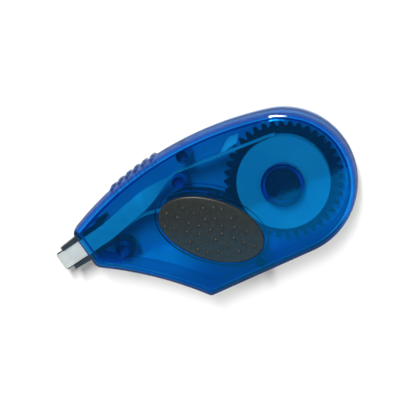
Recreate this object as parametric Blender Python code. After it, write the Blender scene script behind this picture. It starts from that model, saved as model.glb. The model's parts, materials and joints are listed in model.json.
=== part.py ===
"""Correction tape dispenser: two-shell case, geared reels, twisted tape and head.

Metres, +Z up. It lies on its rear face. The shape is laid out round the supply reel's axis
and then moved so that the origin is at the bottom centre of the whole part.
"""

import math

import bmesh
import bpy
from mathutils import Matrix, Vector

# Case outline, round the supply reel axis
END_RADIUS = 0.02073
TOP_RADIUS = 0.09855
TOP_JOIN_DEG = 84.3
LOWER_SLOPE_DEG = 7.24
HOLLOW_RADIUS = 0.1068
KEEL_REACH = 0.0324
NOSE_REACH = 0.0581
NOSE_WIDTH = 0.0120
NOSE_TOP_CORNER = 0.0014
NOSE_LOW_CORNER = 0.0028
LOWER_CORNER = 0.0016
SMALLEST_CORNER = 0.00025

# Case section
THICKNESS = 0.0150
PARTING = 0.0075
WALL = 0.0014
EDGE_ROUND = 0.0014
SIDE_BULGE = 0.0005
INNER_ROUND = 0.0010
LIP_INSET = 0.00075
LIP_HEIGHT = 0.0008

# Clearances
SEAM_GAP = 0.0002
LIP_GAP = 0.00012
RUN_GAP = 0.00025
SEAT_GAP = 0.00015
TAPE_GAP = 0.0002
BACKLASH = 0.00014

# Tape
TAPE_WIDTH = 0.0050
TAPE_THICK = 0.0002
TAPE_Z = 0.0072
ROLL_RADIUS = 0.0135
CORE_RADIUS = 0.0070
CORE_MARGIN = 0.0002
LAYER_STEP = 0.0002
RETURN_SWING = 0.0095

# Gear train
MODULE = 0.00083
SUPPLY_TEETH = 40
TAKEUP_TEETH = 16
PRESSURE_DEG = 20.0
MESH_DEG = 192.0
GEAR_Z = 0.0023
GEAR_THICK = 0.0017
HUB_RADIUS = 0.00475
HUB_TOP = 0.0120
HUB_CAP = 0.0010
SUPPLY_PIN = 0.0025
TAKEUP_PIN = 0.0019
TAKEUP_CORE = 0.0050
WINDING_RADIUS = 0.0060
CLUTCH_INNER = 0.0054
CLUTCH_OUTER = 0.0066
CLUTCH_THICK = 0.0008

# Guide roller and posts
ROLLER_X = -0.0281
ROLLER_Y = 0.0096
ROLLER_RADIUS = 0.0021
ROLLER_PIN = 0.0010
POST_RADIUS = 0.00175
TOP_POST_X = -0.0246
TOP_POST_Y = 0.0163
LOW_POST_X = -0.0128
LOW_POST_Y = -0.0196
LOW_POST_RADIUS = 0.0014
EYE_PIN = 0.0019
RIB_THICK = 0.0009
RING_WALL = 0.0012
ROLLER_STEP = 0.0003

# Dispensing head, along its own axis, with its lengths from the nose face
HEAD_DEG = 196.7
HEAD_DROP = 0.00563
HEAD_PROUD = 0.0093
HEAD_TAIL = 0.0091
TIP_ROUND = 0.0002
BLADE_TAIL = 0.0076
BLADE_HALF = 0.0019
BLADE_TIP_HALF = 0.0003
BLADE_TAPER = 0.0006
BLADE_EDGE = 0.00035
CHEEK_BITE = 0.0001
CHEEK_THICK = 0.0010
CHEEK_FLARE = 0.0005
CHEEK_HALF = 0.0027
CHEEK_ROOT_LOW = 0.0010
CHEEK_PROUD = 0.0069
CHEEK_END_HALF = 0.0017
CHEEK_STEP = 0.0005
EYE_TAIL = 0.0092
EYE_DROP = 0.0067
EYE_WALL = 0.0011
EYE_HEIGHT = 0.0036
FOOT_TAIL = 0.0066
FOOT_HALF = 0.0018
FOOT_THICK = 0.0012
FOOT_BITE = 0.0004
SLOT_GAP = 0.0003
SLOT_DEPTH = 0.0040
CUT_PAST = 0.0010
HEAD_TIP = NOSE_REACH + HEAD_PROUD
HEAD_ROOT = NOSE_REACH - HEAD_TAIL
BLADE_START = NOSE_REACH - BLADE_TAIL
BLADE_WIDTH = TAPE_WIDTH + 2 * BLADE_EDGE
CHEEK_END = NOSE_REACH + CHEEK_PROUD
FOOT_END = NOSE_REACH - FOOT_TAIL

# Grips
GRIP_X = -0.0232
GRIP_Y = -0.0058
GRIP_LONG = 0.0156
GRIP_SHORT = 0.00875
GRIP_TURN_DEG = -36.0
GRIP_SEAT = 0.0013
GRIP_PROUD = 0.0005
GRIP_CROWN = 0.0004
POCKET_FLOOR = 0.0010
POCKET_WALL = 0.0013
REAR_SEAT = 0.0010
PAD_EDGE = 0.0005
PAD_CORNER = 0.00012
BUMP_RADIUS = 0.0006
BUMP_HEIGHT = 0.0004
BUMP_SINK = 0.0003

# Bumps of a grip in its own layout: shares of its half length and half width
BUMPS = [
    (-0.61, 0.38), (-0.39, 0.34), (-0.25, 0.59), (-0.08, 0.72), (0.07, 0.74), (-0.86, 0.05),
    (-0.65, 0.03), (-0.15, 0.26), (0.01, 0.38), (0.29, 0.56), (-0.42, -0.03), (-0.23, 0.0),
    (0.17, 0.24), (0.40, 0.31), (-0.64, -0.34), (-0.81, -0.38), (-0.40, -0.33), (-0.17, -0.26),
    (-0.01, -0.01), (0.21, -0.01), (0.44, -0.02), (0.63, 0.30), (-0.29, -0.61), (-0.02, -0.40),
    (0.14, -0.27), (0.38, -0.35), (0.65, -0.07), (0.85, -0.08), (-0.11, -0.77), (0.07, -0.77),
    (0.25, -0.62), (0.61, -0.41),
]

# Thumb ridges on the top edge
RIDGE_COUNT = 6
RIDGE_FIRST_DEG = 105.2
RIDGE_STEP_DEG = 1.67
RIDGE_RADIUS = 0.00065
RIDGE_RISE = 0.00005

# Window in the rear wall beside the gear: a curved arrow round the supply reel
ARROW_RADIUS = 0.0186
ARROW_HALF = 0.0014
ARROW_HEAD_HALF = 0.0017
ARROW_TIP_DEG = 117.5
ARROW_HEAD_DEG = 127.5
ARROW_TAIL_DEG = 147.0

ROUND_STEPS = 28
TWIST_STEPS = 32


def clear():
    """Remove every object of the start-up scene."""
    for obj in list(bpy.data.objects):
        bpy.data.objects.remove(obj, do_unlink=True)


def material(name, colour, roughness, clear_part=0.0):
    """A plain Principled material; clear_part is its transmission."""
    mat = bpy.data.materials.new(name)
    mat.use_nodes = True
    shader = mat.node_tree.nodes["Principled BSDF"]
    shader.inputs["Base Color"].default_value = (*colour, 1.0)
    shader.inputs["Roughness"].default_value = roughness
    shader.inputs["Transmission Weight"].default_value = clear_part
    return mat


def make(name, verts, faces):
    """A mesh object with its faces turned outwards."""
    mesh = bpy.data.meshes.new(name)
    mesh.from_pydata([tuple(v) for v in verts], [], faces)
    work = bmesh.new()
    work.from_mesh(mesh)
    bmesh.ops.remove_doubles(work, verts=work.verts, dist=1e-7)
    bmesh.ops.recalc_face_normals(work, faces=work.faces)
    work.to_mesh(mesh)
    work.free()
    obj = bpy.data.objects.new(name, mesh)
    bpy.context.scene.collection.objects.link(obj)
    return obj


def loft(name, rings, closed=False):
    """Skin rings of equal length; the ends are capped, or joined to each other when closed."""
    count = len(rings[0])
    verts = [p for ring in rings for p in ring]
    faces = []
    spans = len(rings) if closed else len(rings) - 1
    for i in range(spans):
        low = i * count
        high = ((i + 1) % len(rings)) * count
        for j in range(count):
            k = (j + 1) % count
            faces.append((low + j, low + k, high + k, high + j))
    if not closed:
        faces.append(tuple(range(count)))
        faces.append(tuple(range((len(rings) - 1) * count, len(rings) * count)))
    return make(name, verts, faces)


def lift(points, z):
    """Flat points as a ring at height z."""
    return [(x, y, z) for x, y in points]


def prism(name, points, low, high):
    """A flat outline raised from low to high."""
    return loft(name, [lift(points, low), lift(points, high)])


def circle(x, y, radius, steps=ROUND_STEPS):
    """Points of a circle."""
    return [
        (x + radius * math.cos(2 * math.pi * i / steps), y + radius * math.sin(2 * math.pi * i / steps))
        for i in range(steps)
    ]


def turned(name, x, y, profile, steps=ROUND_STEPS, hollow=False):
    """A turned piece from (radius, height) pairs; hollow joins the last pair to the first."""
    rings = [lift(circle(x, y, radius, steps), height) for radius, height in profile]
    return loft(name, rings, hollow)


def bar(name, start, end, width, low, high):
    """A straight rib between two flat points."""
    along = (Vector(end) - Vector(start)).normalized()
    side = Vector((-along.y, along.x)) * width / 2
    corners = [Vector(start) + side, Vector(end) + side, Vector(end) - side, Vector(start) - side]
    return prism(name, [(c.x, c.y) for c in corners], low, high)


def combine(base, tool, operation):
    """Join or cut base with tool, and drop the tool."""
    step = base.modifiers.new("step", "BOOLEAN")
    step.operation = operation
    step.solver = "EXACT"
    step.object = tool
    graph = bpy.context.evaluated_depsgraph_get()
    mesh = bpy.data.meshes.new_from_object(base.evaluated_get(graph))
    base.modifiers.clear()
    old = base.data
    base.data = mesh
    bpy.data.meshes.remove(old)
    bpy.data.objects.remove(tool, do_unlink=True)


def tidy(obj):
    """Weld slivers that the joins leave."""
    work = bmesh.new()
    work.from_mesh(obj.data)
    bmesh.ops.remove_doubles(work, verts=work.verts, dist=2e-6)
    bmesh.ops.dissolve_degenerate(work, edges=work.edges, dist=2e-6)
    work.to_mesh(obj.data)
    work.free()


def arc(cx, cy, radius, start, end, steps):
    """Points along an arc, without the last one."""
    return [
        (
            cx + radius * math.cos(start + (end - start) * i / steps),
            cy + radius * math.sin(start + (end - start) * i / steps),
        )
        for i in range(steps)
    ]


def meet(centre, radius, point, normal, side):
    """Where a circle meets the line through point across normal."""
    reach = (point - centre).dot(normal)
    half = math.sqrt(radius * radius - reach * reach)
    along = Vector((-normal.y, normal.x))
    return centre + normal * reach + along * (side * half)


def angle(centre, point):
    """Direction of point from centre, from 0 to a full turn."""
    return math.atan2(point.y - centre.y, point.x - centre.x) % (2 * math.pi)


def top_centre():
    """Centre of the large arc along the top edge."""
    turn = math.radians(TOP_JOIN_DEG)
    return Vector((math.cos(turn), math.sin(turn))) * (END_RADIUS - TOP_RADIUS)


def nose_way():
    """Direction that the nose faces, which is the head's axis."""
    return Vector((math.cos(math.radians(HEAD_DEG)), math.sin(math.radians(HEAD_DEG))))


def across_way():
    """Direction across the head, towards the top edge."""
    nose = nose_way()
    return Vector((nose.y, -nose.x))


def lower_way():
    """Direction that the straight lower edge faces."""
    slope = math.radians(LOWER_SLOPE_DEG)
    return Vector((math.sin(slope), -math.cos(slope)))


def nose_top():
    """Sharp upper corner of the nose."""
    nose = nose_way()
    return meet(top_centre(), TOP_RADIUS, nose * NOSE_REACH, nose, -1)


def hollow_centre():
    """Centre of the hollow arc that runs from the nose to the keel."""
    down = lower_way()
    low = nose_top() - across_way() * NOSE_WIDTH
    keel = down * END_RADIUS - Vector((-down.y, down.x)) * KEEL_REACH
    half = (keel - low) / 2
    reach = math.sqrt(HOLLOW_RADIUS * HOLLOW_RADIUS - half.length_squared)
    return low + half + Vector((half.y, -half.x)).normalized() * reach


def outline(inset):
    """The case outline moved inwards by inset, always with the same number of points."""
    down = lower_way()
    nose = nose_way()
    top = top_centre()
    hollow = hollow_centre()
    join = math.radians(TOP_JOIN_DEG)
    low_turn = math.atan2(down.y, down.x)
    nose_turn = math.radians(HEAD_DEG)

    upper = max(NOSE_TOP_CORNER - inset, SMALLEST_CORNER)
    upper_at = meet(top, TOP_RADIUS - inset - upper, nose * (NOSE_REACH - inset - upper), nose, -1)
    lower = max(NOSE_LOW_CORNER - inset, SMALLEST_CORNER)
    lower_at = meet(hollow, HOLLOW_RADIUS + inset + lower, nose * (NOSE_REACH - inset - lower), nose, -1)
    keel = max(LOWER_CORNER - inset, SMALLEST_CORNER)
    keel_at = meet(hollow, HOLLOW_RADIUS + inset + keel, down * (END_RADIUS - inset - keel), down, 1)

    upper_turn = angle(top, upper_at)
    lower_turn = angle(hollow, lower_at)
    keel_turn = angle(hollow, keel_at)
    points = arc(0, 0, END_RADIUS - inset, low_turn, join, 28)
    points += arc(*top, TOP_RADIUS - inset, join, upper_turn, 14)
    points += arc(*upper_at, upper, upper_turn, nose_turn, 4)
    points += arc(*upper_at, upper, nose_turn, nose_turn + 1, 1)
    points += arc(*lower_at, lower, nose_turn, lower_turn + math.pi, 4)
    points += arc(*hollow, HOLLOW_RADIUS + inset, lower_turn, keel_turn, 10)
    points += arc(*keel_at, keel, keel_turn + math.pi, low_turn + 2 * math.pi, 4)
    points += arc(*keel_at, keel, low_turn, low_turn + 1, 1)
    return points


def quarter(steps):
    """Sine and cosine pairs over a quarter turn, for rounded edges."""
    return [
        (math.sin(math.pi / 2 * i / steps), math.cos(math.pi / 2 * i / steps)) for i in range(steps + 1)
    ]


def shell(name, rear):
    """One half of the case as a cup, with a lip (rear) or a rebate for it (front) at the seam."""
    seam = PARTING - SEAM_GAP / 2 if rear else THICKNESS - PARTING - SEAM_GAP / 2
    lean = math.atan(2 * SIDE_BULGE / (seam - EDGE_ROUND))
    rows = []
    for i in range(5):
        turn = (math.pi / 2 - lean) * i / 4
        rows.append((EDGE_ROUND * (math.cos(lean) - math.sin(turn)), EDGE_ROUND * (1 - math.cos(turn))))
    low = rows[-1][1]
    for share in (0.5, 1.0):
        rows.append((-SIDE_BULGE * (1 - (1 - share) ** 2), low + (seam - low) * share))
    lip = LIP_INSET - SIDE_BULGE
    inner = WALL - SIDE_BULGE
    if rear:
        rows += [(lip, seam), (lip, seam + LIP_HEIGHT), (inner, seam + LIP_HEIGHT)]
    else:
        depth = LIP_HEIGHT + SEAM_GAP
        rows += [(lip - LIP_GAP, seam), (lip - LIP_GAP, seam - depth), (inner, seam - depth)]
    for s, c in reversed(quarter(2)):
        rows.append((WALL + INNER_ROUND * (1 - s), WALL + INNER_ROUND * (1 - c)))
    rings = []
    for inset, rise in rows:
        rings.append(lift(outline(inset), rise if rear else THICKNESS - rise))
    return loft(name, rings)


def oval(grow=0.0, scale=1.0, steps=44):
    """The grip's oval, grown all round by a length and scaled about its centre."""
    turn = Matrix.Rotation(math.radians(GRIP_TURN_DEG), 2)
    points = []
    for i in range(steps):
        way = 2 * math.pi * i / steps
        spot = Vector(((GRIP_LONG + grow) * math.cos(way), (GRIP_SHORT + grow) * math.sin(way))) * scale
        spot = turn @ spot
        points.append((GRIP_X + spot.x, GRIP_Y + spot.y))
    return points


def grip_pocket(body, rear):
    """A bulge inside the wall and the oval pocket cut into it from outside."""
    seat = REAR_SEAT if rear else GRIP_SEAT

    def level(depth):
        return depth if rear else THICKNESS - depth

    bulge = prism("bulge", oval(POCKET_WALL), level(WALL / 2), level(seat + POCKET_FLOOR))
    combine(body, bulge, "UNION")
    pocket = prism("pocket", oval(SEAT_GAP), level(-CUT_PAST), level(seat))
    combine(body, pocket, "DIFFERENCE")


def ridge_bars(body, seam, face):
    """Thumb ridges across the bulged top edge of one shell, from the seam to near its face."""
    top = top_centre()
    for i in range(RIDGE_COUNT):
        turn = math.radians(RIDGE_FIRST_DEG + i * RIDGE_STEP_DEG)
        rings = []
        for share in (0.0, 0.5, 1.0):
            reach = TOP_RADIUS + RIDGE_RISE + SIDE_BULGE * (1 - share * share)
            x = top.x + reach * math.cos(turn)
            y = top.y + reach * math.sin(turn)
            rings.append(lift(circle(x, y, RIDGE_RADIUS, 10), seam + (face - seam) * share))
        combine(body, loft("ridge", rings), "UNION")


def head_point(along, across, z):
    """A point in the head's own layout: along its axis, across it, and up."""
    side = across_way()
    spot = nose_way() * along + side * (nose_top().dot(side) - HEAD_DROP + across)
    return spot.to_3d() + Vector((0, 0, z))


def head_prism(name, section, start, end):
    """A piece of the head: a section in (along, height), drawn from start to end across."""
    rings = [[head_point(a, across, TAPE_Z + h) for a, h in section] for across in (start, end)]
    return loft(name, rings)


def mirrored(half):
    """A section given by its upper half, closed by its mirror image below."""
    return half + [(a, -h) for a, h in reversed(half)]


def eye_axis():
    """Centre of the head's eye and of the post that it sits on."""
    return head_point(NOSE_REACH - EYE_TAIL, -EYE_DROP, 0).xy


def takeup_axis():
    """Centre of the take-up reel, one centre distance from the supply reel."""
    reach = MODULE * (SUPPLY_TEETH + TAKEUP_TEETH) / 2
    turn = math.radians(MESH_DEG)
    return Vector((reach * math.cos(turn), reach * math.sin(turn)))


def gear_points(teeth, centre, phase):
    """Outline of an involute gear with a tooth centred on phase."""
    pitch = MODULE * teeth / 2
    base = pitch * math.cos(math.radians(PRESSURE_DEG))
    root = pitch - 1.2 * MODULE
    tip = pitch + MODULE

    def spread(radius):
        roll = math.acos(min(1.0, base / radius))
        return math.tan(roll) - roll

    half = math.pi / (2 * teeth) - BACKLASH / (4 * pitch) + spread(pitch)
    low = max(base, root)
    flank = [(root, half - spread(low) + 0.02)] if root < base else []
    for i in range(4):
        radius = low + (tip - low) * i / 3
        flank.append((radius, half - spread(radius)))
    points = []
    for k in range(teeth):
        middle = phase + 2 * math.pi * k / teeth
        side = [(r, middle - a) for r, a in flank] + [(r, middle + a) for r, a in reversed(flank)]
        points += [(centre.x + r * math.cos(a), centre.y + r * math.sin(a)) for r, a in side]
    return points


def build_rear_shell():
    """Rear half of the case with spindles, pins, posts, ribs and the arc window."""
    body = shell("rear_shell", True)
    grip_pocket(body, True)
    root = WALL / 2
    takeup = takeup_axis()
    seam = PARTING - SEAM_GAP / 2
    pin_top = HUB_TOP - HUB_CAP - 2 * RUN_GAP
    pocket_root = REAR_SEAT + POCKET_FLOOR / 2
    eye = eye_axis()
    parts = [
        turned("spindle", 0, 0, [(SUPPLY_PIN, root), (SUPPLY_PIN, pin_top)]),
        turned("takeup_pin", *takeup, [(TAKEUP_PIN, pocket_root), (TAKEUP_PIN, core_top())], 20),
        turned(
            "roller_pin",
            ROLLER_X,
            ROLLER_Y,
            [
                (ROLLER_RADIUS - ROLLER_STEP, root),
                (ROLLER_RADIUS - ROLLER_STEP, core_low() - RUN_GAP),
                (ROLLER_PIN, core_low() - RUN_GAP),
                (ROLLER_PIN, core_top() + RUN_GAP),
            ],
            16,
        ),
        turned("top_post", TOP_POST_X, TOP_POST_Y, [(POST_RADIUS, root), (POST_RADIUS, seam)], 18),
        turned("low_post", LOW_POST_X, LOW_POST_Y, [(LOW_POST_RADIUS, root), (LOW_POST_RADIUS, seam)], 16),
        turned("eye_post", *eye, [(EYE_PIN, root), (EYE_PIN, TAPE_Z + EYE_HEIGHT / 2)], 20),
    ]
    parts += post_ribs(root, seam - LIP_HEIGHT)
    beside = BLADE_WIDTH / 2 + CHEEK_THICK + SEAT_GAP + RIB_THICK
    rail = [head_point(a, beside, 0) for a in (FOOT_END + BLADE_TAPER, NOSE_REACH - SLOT_DEPTH / 2)]
    parts.append(bar("head_rib", rail[0].xy, rail[1].xy, RIB_THICK, root, TAPE_Z))
    for tool in parts:
        combine(body, tool, "UNION")
    ridge_bars(body, seam, EDGE_ROUND)
    combine(body, prism("arrow", arrow_points(), -CUT_PAST, WALL + CUT_PAST), "DIFFERENCE")
    combine(body, head_slot(), "DIFFERENCE")
    tidy(body)
    return body


def arrow_points():
    """Outline of the curved arrow, whose shaft narrows to its tail."""
    tip = math.radians(ARROW_TIP_DEG)
    barb = math.radians(ARROW_HEAD_DEG)
    tail = math.radians(ARROW_TAIL_DEG)
    points = arc(0, 0, ARROW_RADIUS + ARROW_HALF, barb, tail, 8)
    for i in range(9):
        share = i / 8
        reach = ARROW_RADIUS + ARROW_HALF * (1 - 2 * share)
        turn = tail + (barb - tail) * share
        points.append((reach * math.cos(turn), reach * math.sin(turn)))
    points += arc(0, 0, ARROW_RADIUS - ARROW_HEAD_HALF, barb, barb + 1, 1)
    points += arc(0, 0, ARROW_RADIUS, tip, tip + 1, 1)
    points += arc(0, 0, ARROW_RADIUS + ARROW_HEAD_HALF, barb, barb + 1, 1)
    return points


def post_ribs(low, high):
    """Ribs that tie the top post and the eye post to the wall beside them."""
    top = top_centre()
    out = (Vector((TOP_POST_X, TOP_POST_Y)) - top).normalized()
    top_wall = top + out * (TOP_RADIUS - WALL / 2)
    hollow = hollow_centre()
    eye = eye_axis()
    away = (eye - hollow).normalized()
    low_wall = hollow + away * (HOLLOW_RADIUS + WALL / 2)
    rib = bar("top_rib", (TOP_POST_X, TOP_POST_Y), top_wall, RIB_THICK, low, high)
    eye_rib = bar("eye_rib", eye, low_wall, RIB_THICK, low, TAPE_Z - EYE_HEIGHT / 2 - RUN_GAP)
    return [rib, eye_rib]


def head_slot():
    """The opening in the nose that the head passes through."""
    side = BLADE_WIDTH / 2 + CHEEK_THICK + CHEEK_FLARE + SLOT_GAP
    half = CHEEK_HALF + SLOT_GAP
    section = [(NOSE_REACH - SLOT_DEPTH, half), (NOSE_REACH + CUT_PAST, half)]
    return head_prism("slot", mirrored(section), -side, side)


def core_low():
    """Lower face of the reel cores."""
    return TAPE_Z - TAPE_WIDTH / 2 - CORE_MARGIN


def core_top():
    """Upper face of the reel cores."""
    return TAPE_Z + TAPE_WIDTH / 2 + CORE_MARGIN


def build_front_shell():
    """Front half of the case with the hub bearing ring and the posts that meet the rear ones."""
    body = shell("front_shell", False)
    grip_pocket(body, False)
    root = THICKNESS - WALL / 2
    seam = PARTING + SEAM_GAP / 2
    takeup = takeup_axis()
    above = core_top() + 2 * RUN_GAP
    ring = HUB_RADIUS + RUN_GAP
    pocket_root = THICKNESS - GRIP_SEAT - POCKET_FLOOR / 2
    parts = [
        turned(
            "hub_ring",
            0,
            0,
            [(ring, root), (ring, above), (ring + RING_WALL, above), (ring + RING_WALL, root)],
            ROUND_STEPS,
            True,
        ),
        turned(
            "takeup_ring",
            *takeup,
            [
                (TAKEUP_PIN + RUN_GAP, pocket_root),
                (TAKEUP_PIN + RUN_GAP, above),
                (TAKEUP_PIN + RING_WALL, above),
                (TAKEUP_PIN + RING_WALL, pocket_root),
            ],
            20,
            True,
        ),
        turned("roller_cap", ROLLER_X, ROLLER_Y, [(POST_RADIUS, above), (POST_RADIUS, root)], 16),
        turned("top_post", TOP_POST_X, TOP_POST_Y, [(POST_RADIUS, seam), (POST_RADIUS, root)], 18),
        turned("low_post", LOW_POST_X, LOW_POST_Y, [(LOW_POST_RADIUS, seam), (LOW_POST_RADIUS, root)], 16),
        turned(
            "eye_cap", *eye_axis(), [(EYE_PIN, TAPE_Z + EYE_HEIGHT / 2 + 2 * RUN_GAP), (EYE_PIN, root)], 20
        ),
    ]
    for tool in parts:
        combine(body, tool, "UNION")
    ridge_bars(body, seam, THICKNESS - EDGE_ROUND)
    combine(body, head_slot(), "DIFFERENCE")
    tidy(body)
    return body


def build_grip(name, rear):
    """An oval rubber pad with low round bumps, seated in a pocket."""
    if rear:
        face = BUMP_HEIGHT
        crown = 0.0
        levels = [(0.0, REAR_SEAT - SEAT_GAP), (0.0, face + PAD_CORNER), (-PAD_EDGE, face)]
    else:
        face = THICKNESS + GRIP_PROUD
        crown = GRIP_CROWN
        levels = [(0.0, THICKNESS - GRIP_SEAT + SEAT_GAP), (0.0, face - PAD_EDGE)]
        levels += [(-PAD_CORNER, face - PAD_CORNER), (-PAD_EDGE, face)]
    rings = [lift(oval(grow), z) for grow, z in levels]
    if crown:
        rings += [lift(oval(-PAD_EDGE, 0.75), face + 0.6 * crown), lift(oval(-PAD_EDGE, 0.4), face + crown)]
    pad = loft(name, rings)
    verts = []
    faces = []
    way = -1 if rear else 1
    turn = Matrix.Rotation(math.radians(GRIP_TURN_DEG), 2)
    for u, v in BUMPS:
        spot = turn @ Vector((GRIP_LONG * u, GRIP_SHORT * v))
        level = face + crown * (1 - u * u - v * v)
        first = len(verts)
        for size, rise in [(1.0, -BUMP_SINK), (1.0, 0.0), (0.6, 0.8 * BUMP_HEIGHT)]:
            ring = circle(GRIP_X + spot.x, GRIP_Y + spot.y, BUMP_RADIUS * size, 8)
            verts += lift(ring, level + way * rise)
        for row in (0, 8):
            for j in range(8):
                n = (j + 1) % 8
                faces.append((first + row + j, first + row + n, first + row + 8 + n, first + row + 8 + j))
        faces.append(tuple(range(first, first + 8)))
        faces.append(tuple(range(first + 16, first + 24)))
    combine(pad, make("bumps", verts, faces), "UNION")
    tidy(pad)
    return pad


def cheek_flare(section, side):
    """The thicker root of a cheek, which narrows towards the cheek's end."""
    start = section[0][0]
    end = CHEEK_END - CHEEK_STEP
    middle_of = BLADE_WIDTH / 2 + CHEEK_THICK / 2
    rings = [[head_point(a, side * middle_of, TAPE_Z + h) for a, h in section]]
    ring = []
    for a, h in section:
        thick = CHEEK_THICK + CHEEK_FLARE * (end - a) / (end - start) - CHEEK_BITE / 4
        ring.append(head_point(a, side * (BLADE_WIDTH / 2 + thick), TAPE_Z + h))
    rings.append(ring)
    return loft("flare", rings)


def build_head():
    """Black head: wedge blade between two cheeks, and an eye that sits on its post."""
    blade = mirrored(
        [
            (BLADE_START, BLADE_HALF - BLADE_TIP_HALF),
            (BLADE_START + BLADE_TAPER, BLADE_HALF),
            (NOSE_REACH - BLADE_TAPER, BLADE_HALF),
            (HEAD_TIP - TIP_ROUND, BLADE_TIP_HALF),
            (HEAD_TIP, BLADE_TIP_HALF * 0.4),
        ]
    )
    body = head_prism("dispensing_head", blade, -BLADE_WIDTH / 2, BLADE_WIDTH / 2)
    outer_end = [
        (NOSE_REACH + CHEEK_STEP, CHEEK_HALF),
        (CHEEK_END - CHEEK_STEP, CHEEK_END_HALF + CHEEK_STEP),
        (CHEEK_END, CHEEK_END_HALF),
    ]
    upper = mirrored([(BLADE_START - BLADE_TAPER, CHEEK_HALF)] + outer_end)
    lower = [(HEAD_ROOT, CHEEK_HALF)] + mirrored(outer_end)
    lower += [(BLADE_START + CHEEK_ROOT_LOW, -CHEEK_HALF), (BLADE_START, -CHEEK_ROOT_LOW)]
    lower.append((HEAD_ROOT, -CHEEK_ROOT_LOW))
    inner = BLADE_WIDTH / 2 - CHEEK_BITE
    outer = BLADE_WIDTH / 2 + CHEEK_THICK
    combine(body, head_prism("cheek", upper, inner, outer), "UNION")
    combine(body, head_prism("cheek", lower, -outer, -inner), "UNION")
    flare = [(a, h - CHEEK_BITE) for a, h in [(NOSE_REACH - WALL, CHEEK_HALF)] + outer_end[:2]]
    for side in (1, -1):
        combine(body, cheek_flare(mirrored(flare), side), "UNION")
    foot = mirrored([(HEAD_ROOT - CHEEK_ROOT_LOW, FOOT_HALF), (FOOT_END, FOOT_HALF)])
    foot_side = outer - FOOT_BITE
    combine(body, head_prism("foot", foot, foot_side, foot_side + FOOT_THICK), "UNION")
    low = TAPE_Z - EYE_HEIGHT / 2
    high = TAPE_Z + EYE_HEIGHT / 2 - RUN_GAP
    bore = EYE_PIN + RUN_GAP
    ring = [(bore, low), (bore, high), (bore + EYE_WALL, high), (bore + EYE_WALL, low)]
    combine(body, turned("eye", *eye_axis(), ring, 24, True), "UNION")
    tidy(body)
    return body


def build_supply_gear():
    """Large spur gear with a closed hub that runs on the rear spindle and in the front ring."""
    axis = Vector((0, 0))
    body = prism(
        "supply_gear", gear_points(SUPPLY_TEETH, axis, math.radians(MESH_DEG)), GEAR_Z, GEAR_Z + GEAR_THICK
    )
    hub = [
        (HUB_RADIUS, GEAR_Z + GEAR_THICK / 2),
        (HUB_RADIUS, HUB_TOP - 0.0004),
        (HUB_RADIUS - 0.0004, HUB_TOP),
    ]
    combine(body, turned("hub", 0, 0, hub, 36), "UNION")
    bore = SUPPLY_PIN + RUN_GAP
    combine(body, turned("bore", 0, 0, [(bore, 0.0), (bore, HUB_TOP - HUB_CAP)], 24), "DIFFERENCE")
    tidy(body)
    return body


def build_supply_core():
    """Ring that the tape is wound on, with a seat below for the clutch ring."""
    bore = HUB_RADIUS + RUN_GAP
    low = core_low()
    seat = GEAR_Z + GEAR_THICK + CLUTCH_THICK + 2 * SEAT_GAP
    profile = [
        (bore, low),
        (bore, core_top()),
        (CORE_RADIUS, core_top()),
        (CORE_RADIUS, low),
        (CLUTCH_OUTER + SEAT_GAP, low),
        (CLUTCH_OUTER + SEAT_GAP, seat),
        (CLUTCH_INNER - SEAT_GAP, seat),
        (CLUTCH_INNER - SEAT_GAP, low),
    ]
    return turned("supply_core", 0, 0, profile, 40, True)


def build_ring(name, axis, inner, outer, low, high, steps):
    """A plain ring."""
    profile = [(inner, low), (inner, high), (outer, high), (outer, low)]
    return turned(name, axis[0], axis[1], profile, steps, True)


def build_winding(name, axis, inner, outer, steps):
    """Wound tape: a solid ring whose outer layer winds inwards by one step over a turn."""
    start = math.pi / 2
    low = TAPE_Z - TAPE_WIDTH / 2
    high = TAPE_Z + TAPE_WIDTH / 2
    hole = []
    rim = []
    for i in range(steps + 1):
        way = start - 2 * math.pi * i / steps
        reach = outer - LAYER_STEP * i / steps
        hole.append((axis[0] + inner * math.cos(way), axis[1] + inner * math.sin(way)))
        rim.append((axis[0] + reach * math.cos(way), axis[1] + reach * math.sin(way)))
    return loft(name, [lift(hole, low), lift(hole, high), lift(rim, high), lift(rim, low)], True)


def build_takeup_reel():
    """Pinion and spool in one piece, turning on the rear pin."""
    axis = takeup_axis()
    phase = math.radians(MESH_DEG + 180) + math.pi / TAKEUP_TEETH
    body = prism("takeup_reel", gear_points(TAKEUP_TEETH, axis, phase), GEAR_Z, GEAR_Z + GEAR_THICK)
    spool = [(TAKEUP_CORE, GEAR_Z + GEAR_THICK / 2), (TAKEUP_CORE, core_top())]
    combine(body, turned("spool", *axis, spool, 32), "UNION")
    bore = TAKEUP_PIN + RUN_GAP
    combine(body, turned("bore", *axis, [(bore, 0.0), (bore, THICKNESS)], 20), "DIFFERENCE")
    tidy(body)
    return body


def tangent(centre_a, radius_a, centre_b, radius_b):
    """Upward normal of the line that lies on top of two circles."""
    apart = centre_b - centre_a
    lean = math.acos((radius_a - radius_b) / apart.length)
    base = math.atan2(apart.y, apart.x)
    options = [Vector((math.cos(base + s * lean), math.sin(base + s * lean))) for s in (1, -1)]
    return max(options, key=lambda n: n.y)


def ease(share):
    """Smooth step from 0 to 1."""
    share = min(1.0, max(0.0, share))
    return share * share * (3 - 2 * share)


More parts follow.
